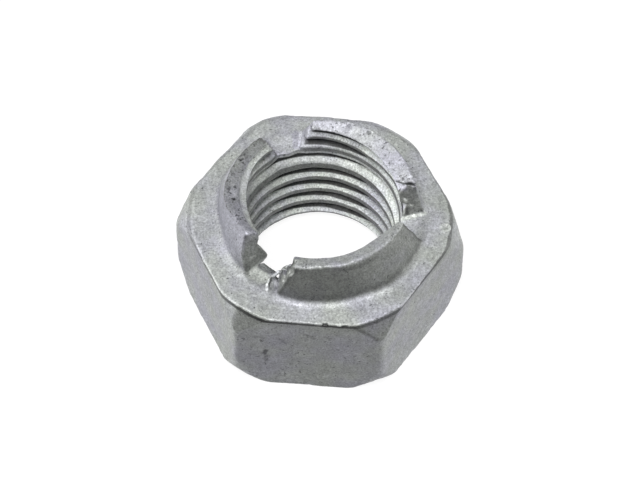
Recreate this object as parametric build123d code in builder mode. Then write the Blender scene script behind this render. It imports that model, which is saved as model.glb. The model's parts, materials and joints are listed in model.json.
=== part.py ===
from build123d import *
import math
import os

# Self-locking nut, forged, threaded and pressed as one piece of steel.
# A hexagon body carries a collar on its shoulder. Slots divide the collar into segments, and each
# segment is pressed in towards the thread, so that it grips the bolt.
# Millimetres. z = 0 is the bearing face and +Z runs along the thread towards the collar.
# Two corners of the hexagon lie on the X axis.

# Hexagon body
across_flats = 24.0
body_height = 11.0  # bearing face to shoulder
upright_round = 1.2  # radius down the six upright edges
chamfer_steepness = 65.0  # degrees between a corner chamfer and the bearing face
shoulder_corner_cut = 1.3  # radial distance from a corner in to the chamfer, at the shoulder
bearing_corner_cut = 1.2  # the same at the bearing face
outline_round = 0.3  # radius round the outlines of the shoulder and the bearing face

# Bore, plain at the thread's minor diameter
minor_diameter = 14.3
mouth_widening = 1.15  # radial, at the bearing face
mouth_angle = 120.0  # degrees, included
relief_widening = 0.5  # radial, where the last turn opens out under the collar
relief_height = 0.6  # straight part of the relief, below the shoulder
relief_cone_height = 1.0

# Collar
slot_count = 3
collar_height = 4.1  # shoulder to the outer edge of the collar's end
foot_wall = 2.05  # wall thickness at the shoulder
end_wall = 1.45  # wall thickness at the end
press_in = 0.85  # how far the middle of a segment's end is pushed towards the thread
end_tilt = 23.0  # degrees by which a segment's end leans in
end_chamfer = 0.3  # on the end's outer edge
gutter_radius = 0.75  # of the hollow between the collar and the shoulder

# Slots
slot_bore_width = 1.9  # at the bore, on the shoulder
slot_flare = 25.0  # degrees by which each wall turns away from the slot's middle line
slot_wall_slant = 20.0  # degrees from upright, so that a slot widens towards the collar's end
slot_turn = -2.5  # degrees from a corner of the hexagon to the slot beside it

# Hexagon and bore, worked out from these
corner_radius = across_flats / math.sqrt(3)
bearing_circle = corner_radius - bearing_corner_cut
shoulder_circle = corner_radius - shoulder_corner_cut
chamfer_slope = math.tan(math.radians(chamfer_steepness))
chamfers_meet = (body_height + (shoulder_circle - bearing_circle) * chamfer_slope) / 2
bore_radius = minor_diameter / 2
mouth_radius = bore_radius + mouth_widening
mouth_depth = mouth_widening / math.tan(math.radians(mouth_angle / 2))
relief_radius = bore_radius + relief_widening
relief_start = body_height - relief_height

# Collar, worked out from these.
# Each wall of a segment runs from a circle about the thread to one that is pushed in by press_in.
top_height = body_height + collar_height
foot_radius = relief_radius + foot_wall
end_inner_radius = relief_radius + (foot_wall - end_wall) / 2
end_outer_radius = end_inner_radius + end_wall
end_edge_radius = end_outer_radius - press_in  # the end's outer edge, at a segment's middle
end_slope = math.tan(math.radians(end_tilt))
segment_pitch = 360 / slot_count
half_pitch = math.radians(segment_pitch / 2)
wall_turn = math.radians(slot_flare)
wall_bearing = half_pitch - wall_turn  # direction of a slot's wall, from a segment's middle
slot_spread = math.tan(math.radians(slot_wall_slant))

# A segment is made with a root in the body, and longer than the collar, and is then cut to its end
root_depth = relief_height / 2
root_radius = foot_radius + 2 * gutter_radius
blank_ratio = 1.5
blank_height = collar_height * blank_ratio
blank_inner_radius = relief_radius + (end_inner_radius - relief_radius) * blank_ratio
blank_outer_radius = foot_radius + (end_outer_radius - foot_radius) * blank_ratio
root_plane = Plane.XY.offset(body_height - root_depth)
shoulder_plane = Plane.XY.offset(body_height)
blank_plane = Plane.XY.offset(body_height + blank_height)
clear_radius = 2 * root_radius  # well outside a segment
clear_height = 2 * top_height

# One segment of the collar, pressed in, with its middle on +X
with BuildPart() as segment:
    with BuildSketch(root_plane):
        Circle(root_radius)
    extrude(amount=root_depth)

    # Outer wall, and the gutter at its foot
    with BuildSketch(shoulder_plane):
        Circle(foot_radius)
    with BuildSketch(blank_plane):
        with Locations((-press_in * blank_ratio, 0)):
            Circle(blank_outer_radius)
    loft()
    shoulder_rings = segment.edges().filter_by_position(Axis.Z, body_height, body_height)
    fillet(shoulder_rings.sort_by(SortBy.LENGTH)[0], gutter_radius)

    # Inner wall
    with BuildSketch(root_plane):
        Circle(relief_radius)
    extrude(amount=root_depth, mode=Mode.SUBTRACT)
    with BuildSketch(shoulder_plane):
        Circle(relief_radius)
    with BuildSketch(blank_plane):
        with Locations((-press_in * blank_ratio, 0)):
            Circle(blank_inner_radius)
    loft(mode=Mode.SUBTRACT)

    # The end is a cone about the thread that leans in
    with BuildSketch(Plane.XZ):
        with BuildLine():
            Polyline(
                (0, top_height - end_edge_radius * end_slope),
                (clear_radius, top_height + (clear_radius - end_edge_radius) * end_slope),
                (clear_radius, clear_height),
                (0, clear_height),
                close=True,
            )
        make_face()
    revolve(axis=Axis.Z, mode=Mode.SUBTRACT)
    end_edges = segment.faces().filter_by(GeomType.CONE).edges().filter_by(GeomType.BSPLINE)
    chamfer(end_edges.sort_by(SortBy.LENGTH)[-1], end_chamfer)

    # The walls of the slots on both sides, each at a set distance from the thread's axis
    with BuildSketch(root_plane):
        foot_distance = slot_bore_width / 2 * math.cos(wall_turn) - relief_radius * math.sin(wall_turn)
        apex = (foot_distance - root_depth * slot_spread) / math.sin(wall_bearing)
        corner_x = apex + clear_radius
        corner_y = clear_radius * math.tan(wall_bearing)
        Polygon((apex, 0), (corner_x, -corner_y), (corner_x, corner_y), align=None)
    extrude(amount=root_depth + blank_height, taper=slot_wall_slant, mode=Mode.INTERSECT)

with BuildPart() as nut:
    # Hexagon with rounded upright edges, its corners turned off above and below
    with BuildSketch():
        RegularPolygon(radius=across_flats / 2, side_count=6, major_radius=False)
    extrude(amount=body_height)
    fillet(nut.edges().filter_by(Axis.Z), upright_round)
    with BuildSketch(Plane.XZ):
        with BuildLine():
            Polyline(
                (0, 0),
                (bearing_circle, 0),
                (bearing_circle + chamfers_meet / chamfer_slope, chamfers_meet),
                (shoulder_circle, body_height),
                (0, body_height),
                close=True,
            )
        make_face()
    revolve(axis=Axis.Z, mode=Mode.INTERSECT)
    bearing_face = nut.faces().sort_by(Axis.Z)[0]
    shoulder_face = nut.faces().sort_by(Axis.Z)[-1]
    fillet(bearing_face.edges() + shoulder_face.edges(), outline_round)

    # Bore, with a wide mouth below and a relief under the collar
    with BuildSketch(Plane.XZ):
        with BuildLine():
            Polyline(
                (0, 0),
                (mouth_radius, 0),
                (bore_radius, mouth_depth),
                (bore_radius, relief_start - relief_cone_height),
                (relief_radius, relief_start),
                (relief_radius, body_height),
                (0, body_height),
                close=True,
            )
        make_face()
    revolve(axis=Axis.Z, mode=Mode.SUBTRACT)

    with PolarLocations(0, slot_count, start_angle=slot_turn + segment_pitch / 2):
        add(segment.part)

nut.part.label = "nut"

os.makedirs("parts", exist_ok=True)
export_step(nut.part, "parts/nut.step")
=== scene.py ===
import json
import math

import bpy
import numpy as np
from mathutils import Matrix, Vector


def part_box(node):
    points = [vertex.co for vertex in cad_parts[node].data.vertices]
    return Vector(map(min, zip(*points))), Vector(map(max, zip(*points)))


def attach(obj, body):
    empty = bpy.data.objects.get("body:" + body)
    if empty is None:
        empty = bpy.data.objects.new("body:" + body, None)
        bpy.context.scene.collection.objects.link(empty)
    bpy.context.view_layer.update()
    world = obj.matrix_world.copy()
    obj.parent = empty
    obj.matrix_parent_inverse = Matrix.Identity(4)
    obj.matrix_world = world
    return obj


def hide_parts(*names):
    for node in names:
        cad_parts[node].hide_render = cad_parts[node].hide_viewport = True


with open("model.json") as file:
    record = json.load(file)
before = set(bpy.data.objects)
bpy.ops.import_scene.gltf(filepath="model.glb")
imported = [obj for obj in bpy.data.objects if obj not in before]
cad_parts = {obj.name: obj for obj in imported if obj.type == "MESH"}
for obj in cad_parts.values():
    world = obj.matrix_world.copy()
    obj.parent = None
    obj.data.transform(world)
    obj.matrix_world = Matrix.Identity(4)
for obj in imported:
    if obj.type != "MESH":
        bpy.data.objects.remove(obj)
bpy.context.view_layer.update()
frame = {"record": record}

# The visual model of a self-locking nut: the solid's form with its thread, the three uneven pressed
# segments, their burrs, and the pitted and mottled surface of coated forged steel.
# Shapes are worked out in millimetres as a field of signed distance, negative inside the steel, on a
# cubic grid. Heights are above the bearing face, azimuths are in degrees counterclockwise from +X seen
# from above, and "lift" is height above the shoulder. A table by azimuth lists azimuths with a value
# each, and runs in straight lines between them, all the way round.

MM = 0.001

# Sizes that the frame gives
low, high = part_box("nut")
across_flats = (high.y - low.y) / MM
thread_mount = next(m for m in frame["record"]["mounts"] if m["name"] == "thread")
crest_radius = thread_mount["dims"]["r_mm"]

# Hexagon body
body_height = 11.0
chamfer_steepness = math.radians(65)
side_flare = 0.12  # of the six sides at the bearing face
flare_height = 3.0
bearing_gap = 0.05  # keeps the rough bearing face above the floor
bearing_round = 0.15
hexagon_start = 10.6  # radius beyond which everything belongs to the shoulder's rim or the sides

# Thread
pitch = 2.0
thread_depth = 0.98
crest_flat = 0.25  # share of the pitch
root_flat = 0.125
flank_share = (1 - crest_flat - root_flat) / 2  # of the pitch, for each flank
thread_start = 2.6  # height of a crest's lower edge at the back, azimuth 90
mouth_slope = math.tan(math.radians(53))  # half the angle that the bore's mouth includes
bore_round = 0.16
flank_lean = 0.87  # distance from a flank, as a share of the radial distance

# Collar
land_lift = 4.1  # of the outer edge of a segment's end
land_tilt = math.radians(23)
land_round = 0.3
wall_lift = 3.8  # where the end's outer radius is measured
wall_lean = math.radians(14)
wall_curve = 1.15  # above 1, the outer wall leans in more towards its end
wall_goes_on = 1.2  # beyond the end, as a share of wall_lift
collar_depth = 0.5  # below the shoulder, from where the collar's field counts
gutter_reach = 0.8

# Slots
slot_floor = -0.07  # lift, at the bore
slot_lip = 0.08  # lift, where the floor runs out into the shoulder
slot_rise = 8.8  # radius from which the floor rises
slot_reach = 10.4  # radius at which it runs out
slot_slant = math.radians(20)
slot_foot_round = 0.2
slot_end_round = 0.4
slot_edge_round = 0.1
slot_window = 45.0  # degrees each side of a slot's middle within which its walls count
sheared_rough = 0.09
WALL_SPAN = (-0.2, 1.3)  # shares of land_lift between which a wall goes on turning
TORN_WALL = (240, 268)  # azimuths between which the walls are twice as rough
ROUGH_LIFTS = (0.2, 1)  # lifts between which their roughness grows
far_away = 9.0

# Radius down each of the six upright edges, from the one on +X on, and of the circle that the upper
# chamfers leave on the shoulder
UPRIGHT_ROUND = np.array((0.5, 1.0, 0.8, 1.1, 0.65, 1.1), np.float32)
SHOULDER_CIRCLE = ((0, 12.45), (60, 12.25), (119, 12.5), (135, 12.3), (180, 12.4), (240, 12.5), (300, 12.6))

# The circle that the lower chamfers leave on the bearing face
BEARING_CIRCLE = (
    (0, 12.85), (60, 12.75), (180, 12.5), (192, 12.55), (205, 13.02), (225, 12.93), (240, 12.75),
    (300, 12.65), (318, 13.05), (345, 13.05),
)

# Rounding between a side and a corner chamfer, and of the shoulder's outline, round the azimuth
CHAMFER_ROUND = ((0, 0.5), (20, 0.3), (40, 0.15), (320, 0.15), (340, 0.35))
EDGE_ROUND = (
    (10, 0.8), (30, 0.8), (58, 1.15), (75, 1.6), (90, 1.25), (108, 1.6), (121, 1.0), (135, 1.8), (150, 1.3),
    (160, 1.1), (185, 0.8), (210, 0.3), (250, 0.2), (320, 0.2),
)

# How much wider than the crests the bore's mouth is, round the azimuth
MOUTH = (
    (58, 1.14), (92, 1.27), (110, 1.34), (130, 1.46), (140, 1.7), (152, 1.9), (165, 1.75), (240, 1.3),
    (330, 1.1),
)

# Radius of the collar's outer wall at its foot and at its end, round the azimuth
FOOT_RADIUS = (
    (10, 9.7), (100, 9.8), (130, 9.95), (168, 9.95), (175, 9.75), (185, 9.5), (194, 9.3), (229, 9.4),
    (246, 9.7), (300, 9.75), (318, 10.1), (342, 10.05),
)
END_OUTER = (
    (10, 9.05), (20, 8.92), (34, 8.85), (50, 8.78), (75, 8.65), (92, 8.4), (104, 8.3),
    (130, 8.45), (147, 8.6), (156, 8.72), (171, 8.85), (185, 9.0), (195, 8.9), (203, 8.5), (212, 8.3),
    (222, 8.4),
    (256, 8.65), (267, 8.6), (277, 8.36), (290, 8.42), (300, 8.42), (317, 8.45), (333, 8.52), (343, 8.55),
)

# How far the outer wall bulges at mid-height
BULGE = ((205, 0), (220, 0.3), (232, 0.3), (245, 0))

# Lifts at which the crests have their plain radius, twice that of BORE_LOW, then those of BORE_MIDDLE
# and BORE_END, and lifts between which the whole thread starts to follow them
middle_lift = 1.5
end_lift = 3.5
BORE_LIFTS = (-2.4, -0.6, 0.0, middle_lift, end_lift)
THREAD_FOLLOWS = (-0.1, 0.9)
BORE_LOW = (
    (0, 7.65), (60, 7.7), (104, 7.75), (110, 7.95), (117, 7.8), (124, 8.1), (132, 7.7),
    (200, 7.6), (226, 7.35), (240, 7.4), (300, 7.6),
)
BORE_MIDDLE = (
    (10, 7.7), (28, 7.59), (43, 7.4), (55, 7.28), (71, 7.49), (92, 7.76), (104, 7.8),
    (130, 7.6), (146, 7.7), (159, 7.4), (171, 7.05), (183, 6.9), (196, 6.85), (213, 6.95), (226, 6.9),
    (256, 7.5), (272, 7.35), (318, 7.35), (341, 7.75),
)
BORE_END = (
    (10, 7.3), (20, 7.15), (50, 7.0), (75, 7.05), (92, 7.25), (104, 7.4),
    (130, 7.3), (146, 7.1), (161, 6.95), (174, 6.86), (185, 6.78), (200, 6.68), (219, 6.65), (232, 7.0),
    (256, 7.0), (265, 6.88), (285, 6.85), (300, 6.9), (318, 6.95), (331, 7.25), (343, 7.95),
)

# How deep the thread is cut at the collar's end, as a share of its full depth
END_THREAD = ((20, 0.8), (100, 0.85), (130, 0.9), (160, 0.75), (225, 0.65), (255, 0.1), (340, 0.1))

# Inner outlines torn by the shearing of the slots: azimuth, degrees that it holds on each side,
# lowest and highest lift, and (lift, radius) up the wall
TORN = (
    (6, 9, -0.1, 9.0,
     ((0.0, 7.7), (0.3, 7.8), (1.3, 8.35), (1.55, 7.6), (2.3, 7.5), (3.2, 8.4), (3.6, 7.5), (4.0, 7.35))),
    (226, 6, -0.1, 9.0,
     ((-0.1, 7.4), (0.1, 6.75), (0.3, 6.62), (0.6, 6.7), (2.2, 7.45), (2.5, 7.4), (2.9, 7.15), (4.0, 7.1))),
    (235, 6, -0.85, -0.1,
     ((-0.9, 7.9), (-0.65, 7.8), (-0.55, 7.15), (-0.45, 7.15), (-0.1, 7.95))),
)
torn_blend = 4.0  # degrees
torn_fade = 0.1  # lift

# The walls of the slots, each by four places (x, y): the inner and the outer end of its foot on the
# floor, then the same at the collar's end. The first wall of a slot ends the segment before it.
SLOTS = (
    (((7.55, -0.95), (9.82, -1.99), (7.69, -2.71), (8.35, -3.0)),
     ((7.76, 0.16), (9.90, 1.32), (7.04, 2.44), (8.76, 1.89))),
    (((-2.60, 7.51), (-2.55, 9.63), (-1.15, 7.40), (-1.20, 8.60)),
     ((-4.45, 6.40), (-5.75, 8.05), (-5.50, 5.30), (-6.35, 5.75))),
    (((-4.89, -5.66), (-6.09, -7.06), (-5.20, -4.60), (-6.20, -5.05)),
     ((-3.25, -6.52), (-3.30, -8.80), (-1.40, -6.95), (-1.23, -8.60))),
)

# Burrs and ridges (1), and pits and scratches (-1), each as a rod with round ends or a chain of them:
# x, y and lift of the places it joins, and its radius
MARKS = (
    # Rolled burr at the left end of the front segment
    (1, (-3.2, -6.84, 0.45), (-3.7, -7.3, 0.3), 0.16),
    (1, (-3.7, -7.3, 0.3), (-4.0, -7.75, 0.2), (-4.18, -8.2, 0.12), 0.17),
    (1, (-4.18, -8.2, 0.12), (-4.1, -8.7, 0.06), 0.15),
    (1, (-3.4, -7.9, 0.25), (-3.35, -8.3, 0.1), 0.24),
    (-1, (-3.83, -7.65, 0.35), (-3.88, -8.35, 0.2), 0.12),
    (1, (-2.75, -6.72, 0.75), (-2.45, -6.75, 1.2), 0.2),
    (1, (-2.25, -7.05, 1.35), (-2.1, -7.0, 1.8), 0.22),
    # Right slot: ridge along the foot of its rear wall, burrs, and the lip over that wall
    (1, (7.8, 0.3, -0.03), (8.35, 0.42, 0), (8.95, 0.75, 0.02), 0.16),
    (1, (8.95, 0.75, 0.02), (9.85, 1.1, 0.02), 0.13),
    (1, (9.45, 1.35, 0.3), (9.6, 1.35, 0.25), 0.14),
    (1, (7.93, 1.32, 1.72), (8.06, 1.24, 1.6), 0.17),
    (-1, (8.08, 0.9, 1.3), (8.3, 0.6, 0.45), 0.17),
    (1, (7.75, 2.1, 3.65), (8.8, 2.25, 3.9), 0.17),
    (-1, (7.5, 1.9, 3.42), (8.8, 1.95, 3.5), 0.13),
    # Rear slot: ridge along the foot of its right wall
    (1, (-2.62, 7.8, -0.05), (-2.58, 9.5, 0), 0.13),
    # Left slot: strip along the foot of its rear wall, and a bead on its top corner
    (1, (-5.25, -6.2, -0.1), (-5.9, -6.9, -0.08), 0.1),
    (1, (-6.35, -5.05, 3.8), (-6.25, -5.0, 3.8), 0.16),
    # Pits in the ends of the segments
    (-1, (2.12, 7.9, 3.9), (2.2, 7.95, 3.9), 0.16),
    (-1, (4.07, 7.26, 3.9), (4.15, 7.2, 3.9), 0.18),
    (-1, (-7.85, 3.15, 3.95), (-7.7, 3.1, 3.87), (-7.5, 3.3, 3.87), 0.09),
    (-1, (-8.4, 1.5, 4.0), (-8.15, 1.5, 3.92), 0.08),
    (-1, (-7.96, 0.2, 3.8), (-7.92, 0.1, 3.78), 0.11),
    (-1, (-8.45, -0.1, 3.98), (-8.48, -0.35, 3.98), 0.1),
    (-1, (-7.96, -1.33, 3.8), (-7.82, -1.2, 3.74), 0.1),
    # Shoulder
    (-1, (10.72, -2.6, 0.08), (10.85, -2.5, 0.08), 0.13),
    (-1, (10.3, -2.45, 0.08), (10.35, -2.4, 0.08), 0.12),
    (-1, (11.95, -0.3, 0.1), (11.97, -0.3, 0.1), 0.18),
    (-1, (1.4, -11.9, -0.08), (1.7, -11.92, -0.08), 0.14),
    (-1, (3.2, -12.0, -0.1), (3.5, -12.0, -0.1), 0.16),
    # Front face
    (-1, (-4.15, -12.05, -5.95), (-4.0, -12.02, -5.4), 0.2),
    (-1, (-4.0, -12.07, -6.7), (-3.85, -12.07, -6.3), 0.16),
    (-1, (-0.2, -12.12, -2.15), (0.5, -12.12, -2.55), 0.2),
    (-1, (1.6, -12.12, -2.3), (2.2, -12.12, -2.55), 0.18),
    (-1, (-2.7, -12.12, -3.2), (-2.1, -12.12, -3.75), 0.18),
    (-1, (-4.9, -12.12, -3.1), (-4.3, -12.12, -3.2), 0.17),
)
mark_reach = 0.12

# Rings: place on the shoulder (x, y), radius of the ring and of its rim
RINGS = ((11.93, -0.3, 0.42, 0.12), (-5.4, -9.75, 0.5, 0.03))

# Coating: two greys, mottling (blotches per millimetre, detail and roughness of the noise, then its span
# and the lightness at both ends), and how edges, lighter for wear and a painted highlight, and hollows,
# darker as painted shade, differ by how far they bend
LILAC_GREY = (0.42, 0.422, 0.475, 1)
GREEN_GREY = (0.425, 0.445, 0.42, 1)
MOTTLES = (
    (0.35, 3.0, 0.5, (0.3, 0.7, 0.94, 1.05)),
    (1.6, 4.0, 0.7, (0.3, 0.7, 0.87, 1.11)),
    (5.5, 3.0, 0.75, (0.25, 0.75, 0.58, 1.4)),
)
WORN_AND_HIGHLIT_EDGES = (0.05, 0.2, 1.0, 1.35)
HOLLOWS = (-0.18, -0.04, 0.75, 1.0)
tint_spots = 0.3
TINT_SPAN = (0.25, 0.75, 0.0, 1.0)
tint_per_cool = -0.2

# Its dark specks, the patches with more of them, its gloss and its relief, in the same order
SPECKS = (3.3, 2.0, 0.5, (0.71, 0.77, 1.0, 0.35))
PATCHES = (0.7, 3.0, 0.6, (0.45, 0.7, 0.0, 0.06))
specks_more = 0.07
GLOSS = (1.7, 3.0, 0.5, (0.3, 0.7, 0.42, 0.58))
RELIEF = (5.0, 3.0, 0.65)
speck_relief = 0.4
relief_depth = 0.03

# Its lightness in places, as a share of the plain coating's, with painted shade and light among it, and the
# density of its specks
plain_coat = 1.03
plain_specks = 0.25
front_specks = 0.25
rim_specks = 0.55
level_rim_specks = 0.4  # on the level part of the rim, as a share
# Painted shade on the front face and on the corner chamfers above it
front_painted_shade = 0.78
front_corner_painted_shade = 0.47
shear_coat = 0.52
# Painted shade on the thread's crests, painted shadow in its roots, and painted light on its flanks round
# the azimuth
crest_painted_shade = 0.5
root_painted_shadow = 0.1
FLANK_PAINTED_LIGHT = ((0, 1.95), (40, 1.95), (65, 1.6), (90, 1.35), (130, 1.4), (160, 1.15), (200, 1.0), (300, 1.3))
# Outer walls of the collar, darkest on the front segment's, partly painted shade
WALL_COAT_AND_SHADE = (
    (10, 0.8), (100, 0.8), (130, 0.95), (170, 0.92), (190, 0.92), (215, 0.88), (228, 0.85),
    (250, 0.34), (285, 0.34), (310, 0.46), (330, 0.55), (342, 0.5),
)
LAND_COAT = (
    (14, 1.22), (30, 1.17), (60, 1.1), (100, 1.12), (130, 0.53), (150, 0.55), (165, 0.61), (190, 0.62),
    (225, 0.66), (260, 0.88), (340, 0.85),
)
LAND_SPECKS = ((14, 0.9), (100, 0.8), (135, 1.2), (150, 0.9), (200, 1.2), (230, 0.6), (340, 0.5))

# Azimuths of the front face, its corner chamfers, the dark arc at its right corner, and the one slot
# wall that isn't dark: where each begins, is full, is still full and has ended
FRONT_SPAN = (239.4, 240.4, 299.6, 300.6)
CORNER_START = (236, 239)
corner_end = 315
ARC_SPAN = (276, 286, 298, 300)
PLAIN_WALL = (97, 99, 116, 118)
arc_shade = 0.45
front_foot = 12.9  # radius at which the front face gives way to the lower chamfers, at the bearing face
front_foot_lean = 0.25  # how that grows with height

# How much darker the outer edge of a segment's end is, and the band under the shoulder's rim
EDGE_SHADE = ((10, 0.3), (104, 0.3), (130, 0.35), (228, 0.25), (246, 0), (343, 0))
RIM_SHADE = (
    (0, 0.2), (15, 0.1), (40, 0), (240, 0), (250, 0.15), (285, 0.15), (300, 0), (325, 0.2),
    (350, 0.25),
)

# The fine dark line along that rim and the glint on it, round the azimuth and over the height
RIM_LINE = (
    (0, 0.55), (20, 0.45), (50, 0.25), (100, 0.15), (170, 0.2), (200, 0.5), (225, 0.6), (240, 0.8),
    (250, 0.95), (283, 0.95), (295, 0.5), (312, 0.6), (330, 0.75), (345, 0.7),
)
RIM_GLINT = (
    (190, 0.1), (215, 0.3), (232, 0.5), (245, 0.5), (251, 0), (275, 0.1), (282, 0.5), (293, 0.5),
    (300, 0.1),
)

LINE_BELOW = (body_height - 0.5, body_height - 0.35, 0.0, 1.0)
LINE_ABOVE = (body_height - 0.18, body_height - 0.1, 1.0, 0.0)
GLINT_ABOVE = (body_height - 0.13, body_height - 0.08, 0.0, 1.0)

# The hollow round the collar's foot: lightness of the painted shade in it, how far it reaches beyond the
# foot's radius, and how much lighter the shoulder is beyond it, as a painted highlight
FOOT_PAINTED_SHADE = (
    (10, 0.9), (150, 0.9), (170, 0.75), (205, 0.7), (225, 0.8), (250, 0.78), (295, 0.78), (310, 0.6),
    (342, 0.6),
)
FOOT_REACH = (
    (10, 0.3), (150, 0.3), (170, 0.1), (225, 0.1), (250, -0.1), (300, -0.1), (315, 0.1), (342, 0.1),
)
FOOT_PAINTED_HIGHLIGHT = ((195, 0), (208, 0.15), (225, 0.15), (240, 0), (258, 0.12), (310, 0.14), (325, 0))

# How far the painted light reaches into the thread, from a crest (0) to a root (1), with painted shadow
# beyond: at the back and the front, more to both sides, and more on the right from a cosine of the azimuth
# on. Then by height: more in the last full turn, a share of that in the collar, less low on the right, and
# the painted lightness itself
light_reach = 0.4
side_reach = 0.9
right_start = 0.45
right_reach = 0.9
LAST_TURN_REACH = (body_height - 2.4, body_height - 1.9, 0.0, 0.35)
COLLAR_REACH = (body_height - 1.2, body_height - 0.9, 1.0, 0.15)
LOW_REACH = (3.5, 7.5, -0.12, 0.0)
ON_THE_RIGHT = (0.0, 0.2, 0.0, 1.0)
HEIGHT_LIGHT = (4.5, 9.5, 1.1, 0.97)
reach_blur = 0.05
crest_blur = 0.06

# How cool (1) or greenish (-1) the coating is on the corner chamfers, the slots' walls, the thread and
# the collar's outer walls
corner_tint = -0.6
shear_tint = -0.7
thread_tint = -0.5
WALL_TINT = ((10, 0.2), (130, 0.6), (170, 1.0), (215, 1.0), (250, -0.2), (300, -0.8), (340, -1.0))
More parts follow.
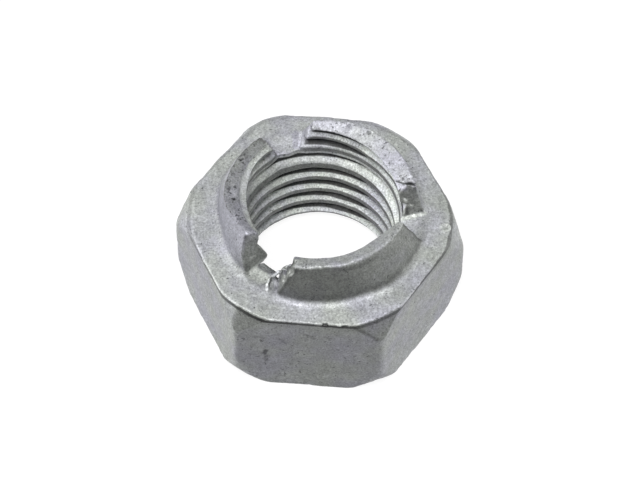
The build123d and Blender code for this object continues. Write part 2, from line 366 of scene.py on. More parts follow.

# Stains, with painted highlights and shade among them, each a rod or a chain like the marks: share of the
# coating's lightness, how cool it is, x, y and lift of its places, and the radius within which it holds
STAINS_AND_PAINTED_SHADING = (
    # Rear slot: its floor, a painted shadow beside the ridge and a painted highlight on it, the right wall
    # and the end of the left segment
    (1.1, -0.8, (-4.6, 8.0, 0.0), (-3.4, 8.1, 0.0), 1.0),
    (0.85, 1.8, (-3.05, 9.3, 0.0), (-2.95, 7.8, 0.0), 0.3),
    (1.3, 0.6, (-2.6, 9.4, 0.1), (-2.55, 7.7, 0.1), 0.22),
    (0.95, 2.0, (-2.1, 8.8, 0.9), (-1.6, 8.6, 3.2), 0.6),
    (0.5, 0, (-6.4, 5.75, 3.95), (-5.7, 5.3, 3.9), 0.22),
    (1.25, 0, (-1.6, 7.7, 2.4), (2.2, 7.5, 2.5), 0.55),
    # Left slot: white bead, dark torn edge, and a painted highlight and painted shade on the two sides of
    # the rolled burr
    (1.7, 0, (-6.35, -5.05, 3.9), (-6.25, -5.0, 3.9), 0.25),
    (0.5, 0.3, (-5.4, -6.0, -0.3), (-3.9, -6.65, -0.3), 0.35),
    (1.2, -0.8, (-5.5, -7.0, 0.0), (-4.6, -7.3, 0.0), 0.7),
    (1.25, 0, (-3.3, -6.95, 0.5), (-4.0, -7.75, 0.4), 0.17),
    (1.6, 0, (-4.05, -7.85, 0.4), (-4.18, -8.1, 0.3), 0.15),
    (1.8, 0, (-4.18, -8.3, 0.25), (-4.15, -8.65, 0.15), 0.18),
    (0.25, 0, (-3.85, -7.65, 0.35), (-3.9, -8.3, 0.2), 0.17),
    (0.35, 0, (-3.8, -7.5, 0.4), (-3.2, -7.5, 0.5), 0.16),
    (0.6, 0.5, (-3.4, -7.9, 0.4), (-3.3, -8.35, 0.3), 0.35),
    (0.5, 0.6, (-2.75, -7.1, 0.9), (-2.4, -7.5, 0.9), 0.25),
    (0.5, 1.0, (-2.7, -7.5, 0.7), (-1.6, -7.4, 2.8), 0.5),
    (0.75, 1.0, (-1.8, -7.2, 2.4), (-1.4, -7.1, 3.5), 0.4),
    # Dark outer border of the left segment's torn end
    (0.65, 0, (-6.4, -5.2, 3.6), (-6.65, -5.75, 2.2), 0.2),
    (0.85, 0, (-6.65, -5.75, 2.2), (-6.35, -6.6, 0.9), 0.2),
    (1.15, 0.5, (-5.8, -5.8, 2.2), (-5.6, -6.1, 1.2), 0.4),
    # Painted shade in the hollow at the foot of the left segment's end
    (0.85, 0.3, (-8.0, -4.0, 1.2), (-7.2, -5.3, 1.4), 0.6),
    (0.85, 0.3, (-7.0, -5.7, 1.3), (-6.45, -6.55, 0.6), 0.5),
    # Right slot: a painted highlight on the ridge, bright torn faces, and painted shade in the groove and
    # in the crack under the lip
    (1.45, -0.8, (7.75, 0.3, 0.05), (8.9, 0.7, 0.1), 0.27),
    (1.4, -0.8, (8.9, 0.7, 0.1), (9.9, 1.1, 0.1), 0.22),
    (0.3, 0.5, (8.08, 0.9, 1.25), (8.3, 0.6, 0.45), 0.24),
    (0.95, 1.5, (7.3, 2.4, 2.2), (7.8, 1.9, 2.9), 0.4),
    (0.95, 1.6, (7.1, 2.8, 1.4), (7.1, 2.85, 1.9), 0.6),
    (1.15, 1.5, (7.6, 1.3, 0.5), (7.8, 1.3, 1.1), 0.35),
    (1.25, 0, (7.93, 1.32, 1.75), (8.08, 1.24, 1.65), 0.22),
    (0.5, 0, (9.15, 1.5, 0.7), (9.75, 1.15, 0.1), 0.14),
    (0.75, 0, (8.0, 2.1, 3.85), (8.8, 2.1, 3.9), 0.25),
    (0.3, 0, (7.1, 2.2, 3.45), (7.55, 2.0, 3.5), 0.13),
    (0.3, 0, (7.55, 2.0, 3.5), (8.8, 1.95, 3.5), 0.17),
    (0.3, 0, (8.3, 1.95, 3.6), (8.75, 1.95, 3.65), 0.27),
    (1.3, 0, (8.3, 2.5, 4.0), (8.4, 2.55, 4.0), 0.3),
    (1.35, 0, (9.15, 1.6, 2.2), (9.6, 1.4, 0.8), 0.35),
    # Front segment: burr along the end's outer edge, and painted shade in the dark line under it
    (1.25, 0, (-1.1, -8.5, 3.95), (0.7, -8.3, 3.9), 0.17),
    (1.3, 0, (0.7, -8.3, 3.9), (2.6, -8.0, 3.85), 0.17),
    (1.35, 0, (2.6, -8.0, 3.85), (4.3, -7.35, 3.8), 0.17),
    (0.78, 0, (2.6, -8.15, 3.5), (4.4, -7.5, 3.4), (6.0, -6.3, 3.4), 0.2),
    # Pits in the end of the left segment
    (0.3, 0, (-7.85, 3.15, 3.9), (-7.7, 3.1, 3.82), (-7.5, 3.3, 3.82), 0.11),
    (0.5, 0, (-8.4, 1.5, 3.95), (-8.15, 1.5, 3.87), 0.1),
    (0.3, 0, (-7.96, 0.2, 3.7), (-7.92, 0.1, 3.7), 0.14),
    (0.4, 0, (-8.45, -0.1, 3.9), (-8.48, -0.35, 3.9), 0.12),
    (0.3, 0, (-7.96, -1.33, 3.72), (-7.82, -1.2, 3.66), 0.12),
    (1.1, 0, (-8.2, 0.55, 3.9), (-8.1, -0.35, 3.85), 0.2),
    (0.72, 0, (-7.45, 3.9, 3.95), (-7.1, 3.6, 3.9), 0.35),
    (0.85, 0, (-7.15, 2.9, 3.4), (-7.15, 2.0, 3.4), 0.6),
    (0.55, 0, (-7.9, 3.35, 3.9), (-7.6, 3.6, 3.9), 0.09),
    (1.3, 0, (-8.3, -1.0, 3.85), (-8.0, -0.6, 3.8), 0.4),
    # Shoulder and front face
    (0.92, 0, (-4.2, -10.7, 0.0), (-1.0, -11.4, 0.0), 0.5),
    (1.1, -0.5, (11.93, -0.3, 0.0), (11.95, -0.3, 0.0), 0.6),
    (0.8, 0, (11.9, -0.35, 0.0), (12.0, -0.2, 0.0), 0.25),
    (0.4, 0, (-11.09, 4.49, -0.7), (-11.0, 4.6, -0.6), 0.2),
    (0.35, 0.5, (-4.15, -12.0, -5.95), (-4.0, -12.0, -5.4), 0.25),
    (0.6, 0, (-4.0, -12.0, -6.9), (-3.85, -12.0, -6.2), 0.3),
    (0.65, 0, (-0.2, -12.0, -2.15), (0.5, -12.0, -2.55), 0.25),
    (0.7, 0, (1.6, -12.0, -2.3), (2.2, -12.0, -2.6), 0.22),
    (0.75, 0, (-2.7, -12.0, -3.2), (-2.1, -12.0, -3.75), 0.25),
    (0.75, 0, (-4.9, -12.0, -3.1), (-4.3, -12.0, -3.2), 0.25),
)

# Forged and coated roughness, and that of the sheared walls: width of the blotches, depth, random seed
ROUGHNESS = ((2.4, 0.03, 11), (0.9, 0.024, 12), (0.4, 0.02, 13), (0.22, 0.014, 14))
SHEARED_ROUGHNESS = ((0.45, 1.0, 3), (0.22, 0.5, 4))
land_rough = 0.9  # added on the ends of the segments, as a share
bore_rough = 0.45  # in the bore, as a share
LAND_LIFTS = (2.7, 3.3)  # lifts between which that of the ends sets in

# Where parts of the coating set in or fade: by how far the normal points up, by distance from a face, a
# line or a slot, by radius, and by lift
LEVEL = (0.9, 0.98)
steep = 0.75
TURNED = (-0.04, 0.04)
FRONT_FADE = (-0.03, 0.06)
ARC_EDGES = (0.06, 0.14)
OUTER_EDGE = (-0.22, -0.08)
ON_LAND = (-0.3, -0.12)
ON_WALL = (-0.3, -0.1)
FOOT_HOLLOW = (-0.9, -0.5, 0.0, 0.4)
BEYOND_HOLLOW = (0.1, 0.4, 0.6, 1.1)
NEAR_SLOT = (0.12, 0.25)
CLEAR_OF_SLOT = (0.15, 0.4)
OUT_OF_BORE = (0.1, 0.25)
bore_limit = 8.9
RIM_RADII = (10.9, 11.5, 12.7, 13.0)
under_shoulder = -0.05
UNDER_RIM = (-1.1, -0.5)
RIM_LIFTS = (-0.9, -0.4)
ON_COLLAR = (0.1, 0.5)
hollow_bottom = -0.2
HOLLOW_TOP = (0.4, 1.2)
SHEARED_LIFTS = (0.15, 0.4)
THREAD_TOP = (3.2, 3.5)
STAIN_FADE = (0.6, 1.2)  # shares of a stain's radius

# Camera, fitted to the hexagon's corners in the photograph, round from -Y
camera_azimuth = math.radians(4.5798)
camera_elevation = math.radians(56.6793)
camera_roll = math.radians(0.3379)
camera_distance = 311.84
camera_lens = 183.35
aim_height = 6.0
aim_right = 0.07
aim_up = 0.482

# Lamps (name, place and size in metres, power), the world and the floor
LAMPS = (
    ("top", (-0.02, -0.17, 0.57), 0.3, 3.3),
    ("left", (-0.55, 0.05, 0.2), 0.35, 2.0),
    ("right", (0.56, 0.1, 0.15), 0.3, 1.6),
)
LIT_POINT = Vector((0, 0, 0.006))
world_light = 0.03
floor_half = 2.0  # metres
floor_grey = 0.15
floor_glow = 0.9

# Grid and mesh
step = 0.1
margin = 0.5
triangles = 190000
lattice_size = 32
seed_shift = 7.3
fill_share = -0.1  # of a step
fill_rounds = 4
bend_rounds = 2


def smooth_max(a, b, reach):
    """The larger of two distances, with the edge between them rounded over reach."""
    near = np.maximum(reach - np.abs(a - b), 0) / reach
    return np.maximum(a, b) + near * near * reach / 4


def smooth_min(a, b, reach):
    """The smaller of two distances, with the corner between them filled over reach."""
    return -smooth_max(-a, -b, reach)


def rise(value, low_end, high_end):
    """Smooth step from 0 to 1 between two values."""
    t = np.clip((value - low_end) / (high_end - low_end), 0, 1)
    return t * t * (3 - 2 * t)


def within(value, begins, full, still_full, ended):
    """Smooth step from 0 to 1 between the first two values, and back between the last two."""
    return rise(value, begins, full) * (1 - rise(value, still_full, ended))


def round_table(table, azimuth):
    """A value listed by azimuth, in a line between its neighbours all the way round."""
    places, values = zip(*table)
    return np.interp(azimuth, places, values, period=360).astype(np.float32)


def noise(x, y, z, cell, seed):
    """Smooth noise from -1 to 1 whose blotches are about a cell wide."""
    count = lattice_size
    lattice = np.random.default_rng(seed).uniform(-1, 1, (count, count, count)).astype(np.float32)
    whole = []
    part = []
    for axis in (x, y, z):
        place = axis / cell + seed_shift * seed
        base = np.floor(place)
        t = (place - base).astype(np.float32)
        whole.append(base.astype(int))
        part.append(t * t * (3 - 2 * t))
    total = 0
    for corner in np.ndindex(2, 2, 2):
        weight = 1
        for t, c in zip(part, corner):
            weight = weight * (t if c else 1 - t)
        i, j, k = ((w + c) % count for w, c in zip(whole, corner))
        total = total + weight * lattice[i, j, k]
    return total


def turn_between(azimuth, middle):
    """Degrees from one azimuth to another, the shorter way round."""
    return np.abs((azimuth - middle + 180) % 360 - 180)


def grid_axis(lowest, highest):
    """Grid places along one axis, past both ends of the object."""
    count = int(math.ceil((highest - lowest + 2 * margin) / step)) + 1
    return (lowest - margin + step * np.arange(count)).astype(np.float32)


def hexagon_faces(z, azimuth, radius):
    """Distances from the hexagon's sides and from its upper and its lower corner chamfers."""
    upright_round = UPRIGHT_ROUND[np.round(azimuth / 60).astype(int) % 6]
    apothem = across_flats / 2 - upright_round
    fold = np.radians(azimuth % 60 - 30)
    across = radius * np.cos(fold) - apothem
    along = np.abs(radius * np.sin(fold)) - apothem * math.tan(math.pi / 6)
    corner = np.hypot(across, along)
    sides = np.where((along > 0) & (across > 0), corner, across) - upright_round
    sides = sides - side_flare * (1 - rise(z, 0, flare_height))
    run = math.sin(chamfer_steepness)
    climb = math.cos(chamfer_steepness)
    upper = (radius - round_table(SHOULDER_CIRCLE, azimuth)) * run + (z - body_height) * climb
    lower = (radius - round_table(BEARING_CIRCLE, azimuth)) * run - z * climb
    return sides, upper, lower


def body_field(z, azimuth, radius):
    """Distance from the hexagon body with its turned-off corners, without its bore."""
    sides, upper, lower = hexagon_faces(z, azimuth, radius)
    chamfer_round = round_table(CHAMFER_ROUND, azimuth)
    edge_round = round_table(EDGE_ROUND, azimuth)
    field = smooth_max(smooth_max(sides, upper, chamfer_round), lower, chamfer_round)
    field = smooth_max(field, z - body_height, edge_round)
    return smooth_max(field, bearing_gap - z, bearing_round)


def into_thread(z, azimuth):
    """How far from a crest (0) to a root (1) the thread is."""
    turn = (z - thread_start) / pitch - (azimuth - 90) / 360
    turn = turn - np.floor(turn)
    return np.clip(np.minimum(turn - crest_flat, 1 - turn) / flank_share, 0, 1)


def crest_place(lift, azimuth):
    """Radius of the thread's crests, which the pressed segments carry in and out."""
    crests = [np.full_like(azimuth, crest_radius)]
    crests += [round_table(table, azimuth) for table in (BORE_LOW, BORE_LOW, BORE_MIDDLE, BORE_END)]
    crest = crests[0]
    for bottom, top, lower, upper in zip(BORE_LIFTS, BORE_LIFTS[1:], crests, crests[1:]):
        crest = crest + (upper - lower) * np.clip((lift - bottom) / (top - bottom), 0, 1)
    return crest


def bore_radius(z, azimuth):
    """Radius of the threaded bore, with its mouth, its opened last turns and the pressed segments."""
    lift = z - body_height
    crest = crest_place(lift, azimuth)

    # Below the collar the crests are cut back, and in the collar the whole thread is pushed in or out
    moved = (crest - crest_radius) * rise(lift, *THREAD_FOLLOWS)
    near_end = np.clip((lift - middle_lift) / (end_lift - middle_lift), 0, 1)
    fading = 1 - (1 - round_table(END_THREAD, azimuth)) * near_end
    threaded = crest_radius + moved + thread_depth * fading * into_thread(z, azimuth)
    mouth = crest_radius + round_table(MOUTH, azimuth) - z * mouth_slope
    bore = np.maximum(np.maximum(threaded, crest), mouth)

    for middle, reach, lowest, highest, outline in TORN:
        away = turn_between(azimuth, middle)
        share = (1 - rise(away, reach, reach + torn_blend)) * rise(lift, lowest - torn_fade, lowest)
        share = share * (1 - rise(lift, highest, highest + torn_fade))
        lifts, radii = zip(*outline)
        bore = bore + (np.interp(lift, lifts, radii).astype(np.float32) - bore) * share
    return bore


def wall_distance(wall, x, y, height):
    """Distance to the left of a slot's wall, which turns and leans from its foot (height 0) to 1."""
    foot_in, foot_out, end_in, end_out = (np.array(place) for place in wall)
    inner = [foot_in[i] + (end_in[i] - foot_in[i]) * height for i in range(2)]
    along = [foot_out[i] - foot_in[i] + (end_out[i] - foot_out[i] - end_in[i] + foot_in[i]) * height
             for i in range(2)]
    cross = along[0] * (y - inner[1]) - along[1] * (x - inner[0])
    return cross / np.hypot(*along) * math.cos(slot_slant)


def slot_field(x, y, z, azimuth, radius, rough):
    """Distance from the three slots, negative in them."""
    lift = z - body_height
    height = np.clip(lift / land_lift, *WALL_SPAN)
    field = far_away
    for before, after in SLOTS:
        middle = math.degrees(math.atan2(before[0][1] + after[0][1], before[0][0] + after[0][0]))
        near = turn_between(azimuth, middle) < slot_window
        from_first = -wall_distance(before, x, y, height)
        from_second = wall_distance(after, x, y, height)
        gap = smooth_max(from_first, from_second, slot_foot_round)
        field = np.where(near, np.minimum(field, gap), field)
    torn = (azimuth > TORN_WALL[0]) & (azimuth < TORN_WALL[1])
    field = field + sheared_rough * (1 + torn) * rough * np.clip(lift, *ROUGH_LIFTS)
    field = smooth_max(field, radius - slot_reach, slot_end_round)
    floor = slot_floor + (slot_lip - slot_floor) * rise(radius, slot_rise, slot_reach)
    return np.maximum(field, floor - lift)


def collar_faces(z, azimuth, radius):
    """Distances from the collar's outer wall and from the leaning face at its end."""
    lift = z - body_height
    foot = round_table(FOOT_RADIUS, azimuth)
    edge = round_table(END_OUTER, azimuth)
    share = np.clip(lift / wall_lift, 0, wall_goes_on) ** wall_curve
    bulge = round_table(BULGE, azimuth) * 4 * share * (1 - share)
    wall = (radius - bulge - (foot + (edge - foot) * share)) * math.cos(wall_lean)
    land = (lift - land_lift + (edge - radius) * math.tan(land_tilt)) * math.cos(land_tilt)
    return wall, land


def make_field():
    """The whole nut's distance field, and the grid's three axes."""
    x = grid_axis(low.x / MM, high.x / MM)[:, None, None]
    y = grid_axis(low.y / MM, high.y / MM)[None, :, None]
    z = grid_axis(0, high.z / MM)[None, None, :]
    radius = np.hypot(x, y)
    azimuth = np.degrees(np.arctan2(y, x)) % 360
    body = body_field(z, azimuth, radius)

    # The collar and its slots, in the upper part of the grid
    upper = z[0, 0] > body_height - collar_depth
    zu = z[:, :, upper]
    rough = sum(depth * noise(x, y, zu, cell, seed) for cell, depth, seed in SHEARED_ROUGHNESS)
    collar = smooth_max(*collar_faces(zu, azimuth, radius), land_round)
    joined = smooth_min(body[:, :, upper], collar, gutter_reach)
    slots = slot_field(x, y, zu, azimuth, radius, rough)
    body[:, :, upper] = smooth_max(joined, -slots, slot_edge_round)

    bore = (bore_radius(z, azimuth) - radius) * flank_lean
    field = smooth_max(body, bore, bore_round)
    axes = (x.ravel(), y.ravel(), z.ravel())
    roughen(field, bore, axes)
    for sign, *places, thickness in MARKS:
        for start, end in rods(places):
            add_rod(field, axes, sign, start, end, thickness)
    for ring in RINGS:
        add_ring(field, axes, *ring)
    fill_diagonals(field)
    return field, axes


def roughen(field, bore, axes):
    """Forged and coated roughness, added to the field near its surface: less in the bore, most on
    the ends of the segments."""
    reach = 2 * step
    near = np.nonzero(np.abs(field) < reach)
    places = [axis[index] for axis, index in zip(axes, near)]
    share = 1 + land_rough * rise(places[2] - body_height, *LAND_LIFTS)
    share = np.where(np.abs(bore[near]) < reach, bore_rough, share)
    for cell, depth, seed in ROUGHNESS:
        field[near] += share * depth * noise(*places, cell, seed)


def block_near(axes, low_corner, high_corner):
    """The part of the grid between two corners, and its places along the three axes."""
    ends = zip(low_corner, high_corner)
    spans = tuple(slice(*np.searchsorted(axis, end)) for axis, end in zip(axes, ends))
    x, y, z = (axis[span] for axis, span in zip(axes, spans))
    return spans, x[:, None, None], y[None, :, None], z[None, None, :]


def rods(places):
    """The two ends of each rod in a chain, with heights above the bearing face."""
    places = np.array(places) + (0, 0, body_height)
    return zip(places, places[1:])


def rod_distance(x, y, z, start, end):
    """Distance from the line between the ends of a rod."""
    line = end - start
    along = (x - start[0]) * line[0] + (y - start[1]) * line[1] + (z - start[2]) * line[2]
    along = np.clip(along / (line @ line), 0, 1)
    apart = [axis - begin - along * part for axis, begin, part in zip((x, y, z), start, line)]
    return np.sqrt(apart[0] ** 2 + apart[1] ** 2 + apart[2] ** 2)


def add_rod(field, axes, sign, start, end, thickness):
    """Joins a rod with round ends to the steel (1), or cuts it out (-1)."""
    room = thickness + mark_reach + step
    spans, x, y, z = block_near(axes, np.minimum(start, end) - room, np.maximum(start, end) + room)
    distance = rod_distance(x, y, z, start, end) - thickness
    field[spans] = sign * smooth_min(sign * field[spans], distance, mark_reach)


def add_ring(field, axes, x_middle, y_middle, ring_radius, rim):
    """Joins a ring-shaped rim to the shoulder."""
    reach = ring_radius + rim + mark_reach + step
    middle = np.array((x_middle, y_middle, body_height))
    spans, x, y, z = block_near(axes, middle - reach, middle + reach)
    distance = np.hypot(np.hypot(x - x_middle, y - y_middle) - ring_radius, z - body_height) - rim
    field[spans] = smooth_min(field[spans], distance, mark_reach)


def fill_diagonals(field):
    """Fills places where steel would touch steel along one edge only, so that the surface stays closed."""
    fill = fill_share * step
    for _ in range(fill_rounds):
        for axis in range(3):
            layers = np.moveaxis(field, axis, 0)
            inside = layers < 0
            a, b = inside[:, :-1, :-1], inside[:, 1:, :-1]
            c, d = inside[:, :-1, 1:], inside[:, 1:, 1:]
            i, j, k = np.nonzero((a == d) & (b == c) & (a != b))
            for dj, dk in np.ndindex(2, 2):
                corner = layers[i, j + dj, k + dk]
                layers[i, j + dj, k + dk] = np.where(corner >= 0, fill, corner)


# The twelve edges of a cell, by the numbers of the corners that each joins
CELL_EDGES = [(a, b) for a in range(8) for b in range(a + 1, 8) if bin(a ^ b).count("1") == 1]


def surface_of(field, axes):
    """Vertices and four-sided faces of the field's zero surface, one vertex to each cell it crosses."""
    inside = field < 0
    corners = [inside[i : i + inside.shape[0] - 1, j : j + inside.shape[1] - 1, k : k + inside.shape[2] - 1]
               for i, j, k in np.ndindex(2, 2, 2)]
    count = sum(c.astype(np.int8) for c in corners)
    cells = np.argwhere((count > 0) & (count < 8))
    offsets = np.array(list(np.ndindex(2, 2, 2)))
    values = np.stack([field[tuple((cells + o).T)] for o in offsets], axis=1)
    total = np.zeros((len(cells), 3))
    hits = np.zeros(len(cells))
    for a, b in CELL_EDGES:
        crosses = (values[:, a] < 0) != (values[:, b] < 0)
        t = values[crosses, a] / (values[crosses, a] - values[crosses, b])
        total[crosses] += offsets[a] + t[:, None] * (offsets[b] - offsets[a])
        hits[crosses] += 1
    points = (cells + total / hits[:, None]) * step + np.array([axis[0] for axis in axes])
    index = np.full(count.shape, -1, np.int32)
    index[tuple(cells.T)] = np.arange(len(cells))
    faces = []
    for axis in range(3):
        here = np.moveaxis(inside, axis, 0)
        table = np.moveaxis(index, axis, 0)
        changes = np.argwhere(here[1:, 1:-1, 1:-1] != here[:-1, 1:-1, 1:-1])
        i, j, k = changes.T
        ring = [table[i, j, k], table[i, j + 1, k], table[i, j + 1, k + 1], table[i, j, k + 1]]
        quads = np.stack(ring, axis=1)
        leaves = here[i, j + 1, k + 1]
        flip = leaves if axis != 1 else ~leaves
        quads[~flip] = quads[~flip][:, ::-1]
        faces.append(quads)
    return points, np.concatenate(faces)


def mesh_from(points, faces, name):
    """A mesh object of these points, in millimetres, and faces, which all have as many corners."""
    mesh = bpy.data.meshes.new(name)
    mesh.vertices.add(len(points))
    mesh.vertices.foreach_set("co", (points * MM).astype(np.float32).ravel())
    mesh.loops.add(faces.size)
    mesh.loops.foreach_set("vertex_index", faces.astype(np.int32).ravel())
    mesh.polygons.add(len(faces))
    mesh.polygons.foreach_set("loop_start", np.arange(0, faces.size, faces.shape[1], dtype=np.int32))
    mesh.update(calc_edges=True)
    mesh.validate()
    obj = bpy.data.objects.new(name, mesh)
    bpy.context.scene.collection.objects.link(obj)
    return obj


def make_nut():
    """The nut's visible mesh."""
    field, axes = make_field()
    points, faces = surface_of(field, axes)
    obj = mesh_from(points, faces, "nut_surface")
    thin = obj.modifiers.new("thin", "DECIMATE")
    thin.ratio = triangles / (2 * len(faces))
    graph = bpy.context.evaluated_depsgraph_get()
    thinned = bpy.data.meshes.new_from_object(obj.evaluated_get(graph))
    obj.modifiers.clear()
    obj.data = thinned
    thinned.shade_smooth()
    add_coating_and_shading(thinned)
    return obj


def vertex_bend(mesh, points, normals):
    """How far each vertex stands out from its neighbours, as a share of their distance."""
    ends = np.empty(2 * len(mesh.edges), np.int32)
    mesh.edges.foreach_get("vertices", ends)
    a, b = ends.reshape(-1, 2).T
    length = np.linalg.norm(points[a] - points[b], axis=1)
    total = np.zeros_like(points)
    weight = np.zeros(len(points))
    reach = np.zeros(len(points))
    for here, there in ((a, b), (b, a)):
        np.add.at(total, here, points[there])
        np.add.at(weight, here, 1)
        np.add.at(reach, here, length)
    away = points - total / weight[:, None]
    bend = np.einsum("ij,ij->i", away, normals) / (reach / weight)
    for _ in range(bend_rounds):
        spread = np.zeros(len(points))
        np.add.at(spread, a, bend[b])
        np.add.at(spread, b, bend[a])
        bend = (bend + spread / weight) / 2
    return bend


class Places:
    """Where a mesh's vertices lie, in millimetres and degrees, and how far their normals point up."""

    def __init__(self, points, normals):
        self.x, self.y, self.z = points.T.astype(np.float32)
        self.radius = np.hypot(self.x, self.y)
        self.azimuth = np.degrees(np.arctan2(self.y, self.x)) % 360
        self.lift = self.z - body_height
        self.upward = normals[:, 2]

    def listed(self, table):
        return round_table(table, self.azimuth)


def coat_and_shade_hexagon(layers, at):
    """Paints shade on the front face and the corner chamfers above it, and shades the shoulder's rim."""
    sides, upper, _ = hexagon_faces(at.z, at.azimuth, at.radius)
    sloping = 1 - rise(at.upward, *LEVEL)
    outside = (at.lift < under_shoulder) & (at.radius > hexagon_start)
    turned = rise(upper - sides, *TURNED)
    front = within(at.azimuth, *FRONT_SPAN) * (1 - turned) * outside
    front *= 1 - rise(at.radius - front_foot - front_foot_lean * at.z, *FRONT_FADE)
    corner = turned * rise(at.azimuth, *CORNER_START) * (at.azimuth < corner_end) * outside
    # Painted shade on the front face and on the corner chamfers above it
    layers["tone_and_shading"] *= 1 - (1 - front_painted_shade) * front - (1 - front_corner_painted_shade) * corner
    layers["cool"] += corner_tint * corner
    shaded = rise(at.lift, *UNDER_RIM) * outside * (at.upward < LEVEL[0])
    layers["tone_and_shading"] *= 1 - at.listed(RIM_SHADE) * shaded
    arc = (1 - rise(np.abs(upper - sides), *ARC_EDGES)) * within(at.azimuth, *ARC_SPAN) * outside
    layers["tone_and_shading"] *= 1 - arc_shade * arc

    on_edge = sloping * (at.radius > hexagon_start)
    layers["rim_line"] = at.listed(RIM_LINE) * on_edge
    layers["glint"] = at.listed(RIM_GLINT) * on_edge
    rim = rise(at.lift, *RIM_LIFTS) * within(at.radius, *RIM_RADII)
    rim *= np.maximum(sloping, level_rim_specks)
    layers["specked"] += rim_specks * rim + front_specks * front


def coat_and_shade_collar(layers, at):
    """Shades the collar's outer walls, partly as painted shade, paints shade in the hollow at their foot
    and a highlight beyond it, and shades the ends of the segments and the sheared walls of the slots.
    Returns where the ends are, and the distance from the slots."""
    wall, land = collar_faces(at.z, at.azimuth, at.radius)
    on_collar = rise(at.lift, *ON_COLLAR)
    on_land = rise(land, *ON_LAND) * on_collar
    on_wall = rise(wall, *ON_WALL) * on_collar * (1 - on_land)
    # The outer walls' lightness, partly painted shade
    layers["tone_and_shading"] *= 1 - (1 - at.listed(WALL_COAT_AND_SHADE)) * on_wall
    layers["tone_and_shading"] *= 1 - (1 - at.listed(LAND_COAT)) * on_land
    layers["cool"] += at.listed(WALL_TINT) * on_wall
    layers["specked"] += at.listed(LAND_SPECKS) * on_land
    edge = rise(at.radius - at.listed(END_OUTER), *OUTER_EDGE) * on_land
    layers["tone_and_shading"] *= 1 - at.listed(EDGE_SHADE) * edge

    low = at.lift > hollow_bottom
    beyond = at.radius - at.listed(FOOT_RADIUS) - at.listed(FOOT_REACH)
    # Painted shade in the hollow at the foot, and a painted highlight on the shoulder beyond it
    hollow = within(beyond, *FOOT_HOLLOW) * (1 - rise(at.lift, *HOLLOW_TOP)) * low
    layers["tone_and_shading"] *= 1 - (1 - at.listed(FOOT_PAINTED_SHADE)) * hollow
    layers["tone_and_shading"] *= 1 + at.listed(FOOT_PAINTED_HIGHLIGHT) * within(beyond, *BEYOND_HOLLOW) * low

    gap = slot_field(at.x, at.y, at.z, at.azimuth, at.radius, 0)
    sheared = (1 - rise(np.abs(gap), *NEAR_SLOT)) * rise(at.lift, *SHEARED_LIFTS)
    sheared *= (1 - on_land) * (at.upward < steep) * (1 - within(at.azimuth, *PLAIN_WALL))
    layers["tone_and_shading"] *= 1 - (1 - shear_coat) * sheared
    layers["cool"] += shear_tint * sheared
    return on_land, gap


def coat_and_shade_thread(layers, at, on_land, gap):
    """Marks where the thread's painted light and shade hold, and how light the painted light makes its
    flanks.
    """
    threaded = 1 - rise(at.radius - bore_radius(at.z, at.azimuth), *OUT_OF_BORE)
    threaded *= (at.radius < bore_limit) * (1 - on_land) * rise(gap, *CLEAR_OF_SLOT)
    threaded *= 1 - rise(at.lift, *THREAD_TOP)
    layers["cool"] += thread_tint * threaded
    layers["threaded"] = threaded
    layers["flank"] = at.listed(FLANK_PAINTED_LIGHT)


def coat_stains_and_shading(layers, at):
    """Lays the stains, and the painted highlights and shade among them, over the rest."""
    for lightness, coolness, *places, reach in STAINS_AND_PAINTED_SHADING:
        for start, end in rods(places):
            distance = rod_distance(at.x, at.y, at.z, start, end)
            stain_and_shade_share = 1 - rise(distance, *(share * reach for share in STAIN_FADE))
            layers["tone_and_shading"] *= 1 + (lightness - 1) * stain_and_shade_share
            layers["cool"] += coolness * stain_and_shade_share


def add_coating_and_shading(mesh):
    """Writes what the coating and its painted light and shade need to know at each vertex into attributes
    of the mesh.
    """
    points = np.empty(3 * len(mesh.vertices), np.float32)
    normals = np.empty_like(points)
    mesh.vertices.foreach_get("co", points)
    mesh.vertices.foreach_get("normal", normals)
    points = points.reshape(-1, 3) / MM
    normals = normals.reshape(-1, 3)
    at = Places(points, normals)

    # Lightness with painted light and shade in it, coolness and density of specks, and how far the surface
    # bends
    layers = {
        "tone_and_shading": np.full_like(at.x, plain_coat),
        "cool": np.zeros_like(at.x),
        "specked": np.full_like(at.x, plain_specks),
        "bend": vertex_bend(mesh, points, normals),
    }
    coat_and_shade_hexagon(layers, at)
    on_land, gap = coat_and_shade_collar(layers, at)
    coat_and_shade_thread(layers, at, on_land, gap)
    coat_stains_and_shading(layers, at)
    for name, values in layers.items():
        layer = mesh.attributes.new(name, "FLOAT", "POINT")
        layer.data.foreach_set("value", values.astype(np.float32))


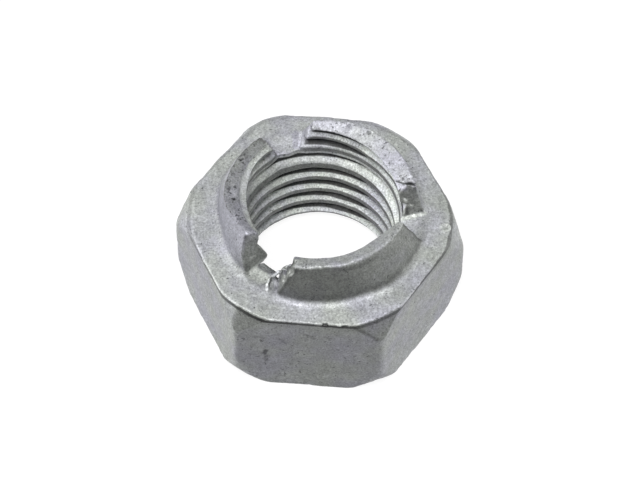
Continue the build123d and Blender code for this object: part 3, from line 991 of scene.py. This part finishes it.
class Nodes:
    """Short calls that add shader nodes to a material. An input takes a socket or a value."""

    def __init__(self, material):
        material.use_nodes = True
        self.tree = material.node_tree
        self.shader = self.tree.nodes["Principled BSDF"]

    def fill(self, node, entries):
        """Fills a node's inputs, by name or number."""
        for name, value in entries.items():
            if isinstance(value, bpy.types.NodeSocket):
                self.tree.links.new(value, node.inputs[name])
            else:
                node.inputs[name].default_value = value

    def add(self, kind, entries=None, **settings):
        node = self.tree.nodes.new(kind)
        for name, value in settings.items():
            setattr(node, name, value)
        self.fill(node, entries or {})
        return node

    def math(self, operation, *values):
        return self.add("ShaderNodeMath", dict(enumerate(values)), operation=operation).outputs[0]

    def product(self, *factors):
        result = factors[0]
        for factor in factors[1:]:
            result = self.math("MULTIPLY", result, factor)
        return result

    def total(self, *parts):
        result = parts[0]
        for part in parts[1:]:
            result = self.math("ADD", result, part)
        return result

    def scaled(self, vector, factor):
        entries = {0: vector, "Scale": factor}
        return self.add("ShaderNodeVectorMath", entries, operation="SCALE").outputs[0]

    def span(self, value, *ends):
        """A value carried from one span to another, held at its ends."""
        names = ("Value", "From Min", "From Max", "To Min", "To Max")
        entries = dict(zip(names, (value, *ends)))
        return self.add("ShaderNodeMapRange", entries, interpolation_type="SMOOTHSTEP").outputs["Result"]

    def spots(self, place, per_mm, detail=2.0, roughness=0.5, span=None):
        """Smooth noise from 0 to 1 over a place in millimetres, carried to a span where there is one."""
        entries = {"Vector": place, "Scale": per_mm, "Detail": detail, "Roughness": roughness}
        spotted = self.add("ShaderNodeTexNoise", entries).outputs["Fac"]
        return self.span(spotted, *span) if span else spotted

    def attribute(self, name):
        return self.add("ShaderNodeAttribute", attribute_name=name).outputs["Fac"]


def thread_shade(make, x, y, z):
    """Painted light and shade on the thread: darker flat crests, light flanks, and painted shadow beyond
    the part that light reaches.
    """
    azimuth = make.math("ARCTAN2", y, x)
    cosine = make.math("COSINE", azimuth)
    turn = make.math("DIVIDE", make.math("SUBTRACT", z, thread_start), pitch)
    around = make.math("DIVIDE", make.math("SUBTRACT", azimuth, math.pi / 2), 2 * math.pi)
    turn = make.math("FRACT", make.math("SUBTRACT", turn, around))
    edge = make.math("MINIMUM", make.math("SUBTRACT", turn, crest_flat), make.math("SUBTRACT", 1.0, turn))
    into_root = make.math("DIVIDE", edge, flank_share)

    sideways = make.math("SUBTRACT", 1.0, make.math("ABSOLUTE", make.math("SINE", azimuth)))
    right = make.math("MAXIMUM", make.math("SUBTRACT", cosine, right_start), 0.0)
    opened = make.product(make.span(z, *LAST_TURN_REACH), make.span(z, *COLLAR_REACH))
    low_right = make.product(make.span(z, *LOW_REACH), make.span(cosine, *ON_THE_RIGHT))
    sides = make.total(make.product(sideways, side_reach), make.product(right, right_reach))
    reach = make.math("MINIMUM", make.total(light_reach, sides, opened, low_right), 1.0)

    lit = make.span(into_root, 0.0, crest_blur, crest_painted_shade, make.attribute("flank"))
    nearer = make.math("SUBTRACT", reach, reach_blur)
    deep = make.span(into_root, nearer, make.total(reach, reach_blur), 1.0, root_painted_shadow)
    return make.product(lit, deep, make.span(z, *HEIGHT_LIGHT))


def coated_steel():
    """Grey zinc-flake coating: mottled and speckled, lighter on edges for wear and a painted highlight,
    darker in hollows as painted shade, with painted light and shade on the thread.
    """
    material = bpy.data.materials.new("coated_steel")
    make = Nodes(material)
    place = make.scaled(make.add("ShaderNodeTexCoord").outputs["Object"], 1 / MM)
    x, y, z = make.add("ShaderNodeSeparateXYZ", {0: place}).outputs

    # Mottling, dark specks in patches, and edges lighter for wear and a painted highlight, with painted
    # shade in hollows
    mottling = [make.spots(place, *mottle) for mottle in MOTTLES]
    density = make.product(make.attribute("specked"), specks_more)
    *speck_noise, speck_span = SPECKS
    speck = make.total(make.spots(place, *speck_noise), make.spots(place, *PATCHES), density)
    specks = make.span(speck, *speck_span)
    bend = make.attribute("bend")
    edges_and_hollows = [make.span(bend, *lightness) for lightness in (WORN_AND_HIGHLIT_EDGES, HOLLOWS)]

    # Painted light and shade on the thread, and the line under the shoulder's rim with the painted glint on
    # it
    shade = make.math("SUBTRACT", thread_shade(make, x, y, z), 1.0)
    shade = make.total(make.product(shade, make.attribute("threaded")), 1.0)
    line = make.product(make.span(z, *LINE_BELOW), make.span(z, *LINE_ABOVE), make.attribute("rim_line"))
    line = make.math("SUBTRACT", 1.0, line)
    glint = make.total(make.product(make.span(z, *GLINT_ABOVE), make.attribute("glint")), 1.0)
    tone = make.product(*mottling, specks, *edges_and_hollows, make.attribute("tone_and_shading"), shade, line, glint)

    # Colour, and relief of the flakes
    green = make.total(make.spots(place, tint_spots), make.product(make.attribute("cool"), tint_per_cool))
    greys = {"Factor": make.span(green, *TINT_SPAN), "A": LILAC_GREY, "B": GREEN_GREY}
    tint = make.add("ShaderNodeMix", greys, data_type="RGBA")
    relief = make.total(make.spots(place, *RELIEF), make.product(specks, speck_relief))
    bump = make.add("ShaderNodeBump", {"Height": relief, "Strength": 0.5, "Distance": relief_depth * MM})
    make.fill(make.shader, {
        "Base Color": make.scaled(tint.outputs["Result"], tone),
        "Roughness": make.spots(place, *GLOSS),
        "Metallic": 0.15,
        "Normal": bump.outputs["Normal"],
    })
    return material


def set_camera():
    """The photograph's viewpoint."""
    sine = math.sin(camera_azimuth)
    cosine = math.cos(camera_azimuth)
    level = math.cos(camera_elevation)
    back = Vector((sine * level, -cosine * level, math.sin(camera_elevation)))
    sideways = Vector((cosine, sine, 0))
    above = back.cross(sideways)
    right = sideways * math.cos(camera_roll) + above * math.sin(camera_roll)
    up = above * math.cos(camera_roll) - sideways * math.sin(camera_roll)
    target = Vector((0, 0, aim_height)) + right * aim_right + up * aim_up
    data = bpy.data.cameras.new("camera")
    data.sensor_width = 36
    data.lens = camera_lens
    data.clip_start = 0.01
    data.clip_end = 10
    camera = bpy.data.objects.new("camera", data)
    axes = Matrix((right, up, back)).transposed().to_4x4()
    axes.translation = (target + back * camera_distance) * MM
    camera.matrix_world = axes
    bpy.context.scene.collection.objects.link(camera)
    bpy.context.scene.camera = camera


def add_floor():
    """A pale floor that shows white and keeps a faint shadow."""
    mesh = bpy.data.meshes.new("floor")
    corners = [(x * floor_half, y * floor_half, 0) for x, y in ((-1, -1), (1, -1), (1, 1), (-1, 1))]
    mesh.from_pydata(corners, [], [(0, 1, 2, 3)])
    floor = bpy.data.objects.new("floor", mesh)
    bpy.context.scene.collection.objects.link(floor)
    material = bpy.data.materials.new("floor")
    make = Nodes(material)
    path = make.add("ShaderNodeLightPath")
    seen = make.math("MAXIMUM", path.outputs["Is Camera Ray"], path.outputs["Is Glossy Ray"])
    seen = make.math("MAXIMUM", seen, path.outputs["Is Transmission Ray"])
    make.fill(make.shader, {
        "Base Color": (floor_grey, floor_grey, floor_grey, 1),
        "Roughness": 1.0,
        "Emission Color": (1, 1, 1, 1),
        "Emission Strength": make.product(seen, floor_glow),
    })
    mesh.materials.append(material)


def add_lamp(name, place, size, power):
    """A soft square lamp that faces the object."""
    data = bpy.data.lights.new(name, "AREA")
    data.shape = "SQUARE"
    data.size = size
    data.energy = power
    lamp = bpy.data.objects.new(name, data)
    lamp.location = place
    lamp.rotation_euler = (LIT_POINT - Vector(place)).to_track_quat("-Z", "Y").to_euler()
    bpy.context.scene.collection.objects.link(lamp)


def set_light():
    """Soft studio light from above the camera and from both sides, and a faint even world."""
    world = bpy.data.worlds.new("studio")
    world.use_nodes = True
    background = world.node_tree.nodes["Background"]
    background.inputs["Color"].default_value = (1, 1, 1, 1)
    background.inputs["Strength"].default_value = world_light
    bpy.context.scene.world = world
    for lamp in LAMPS:
        add_lamp(*lamp)
    bpy.context.scene.view_settings.view_transform = "Standard"


set_camera()
add_floor()
set_light()
nut = make_nut()
nut.data.materials.append(coated_steel())
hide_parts("nut")
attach(nut, "root")
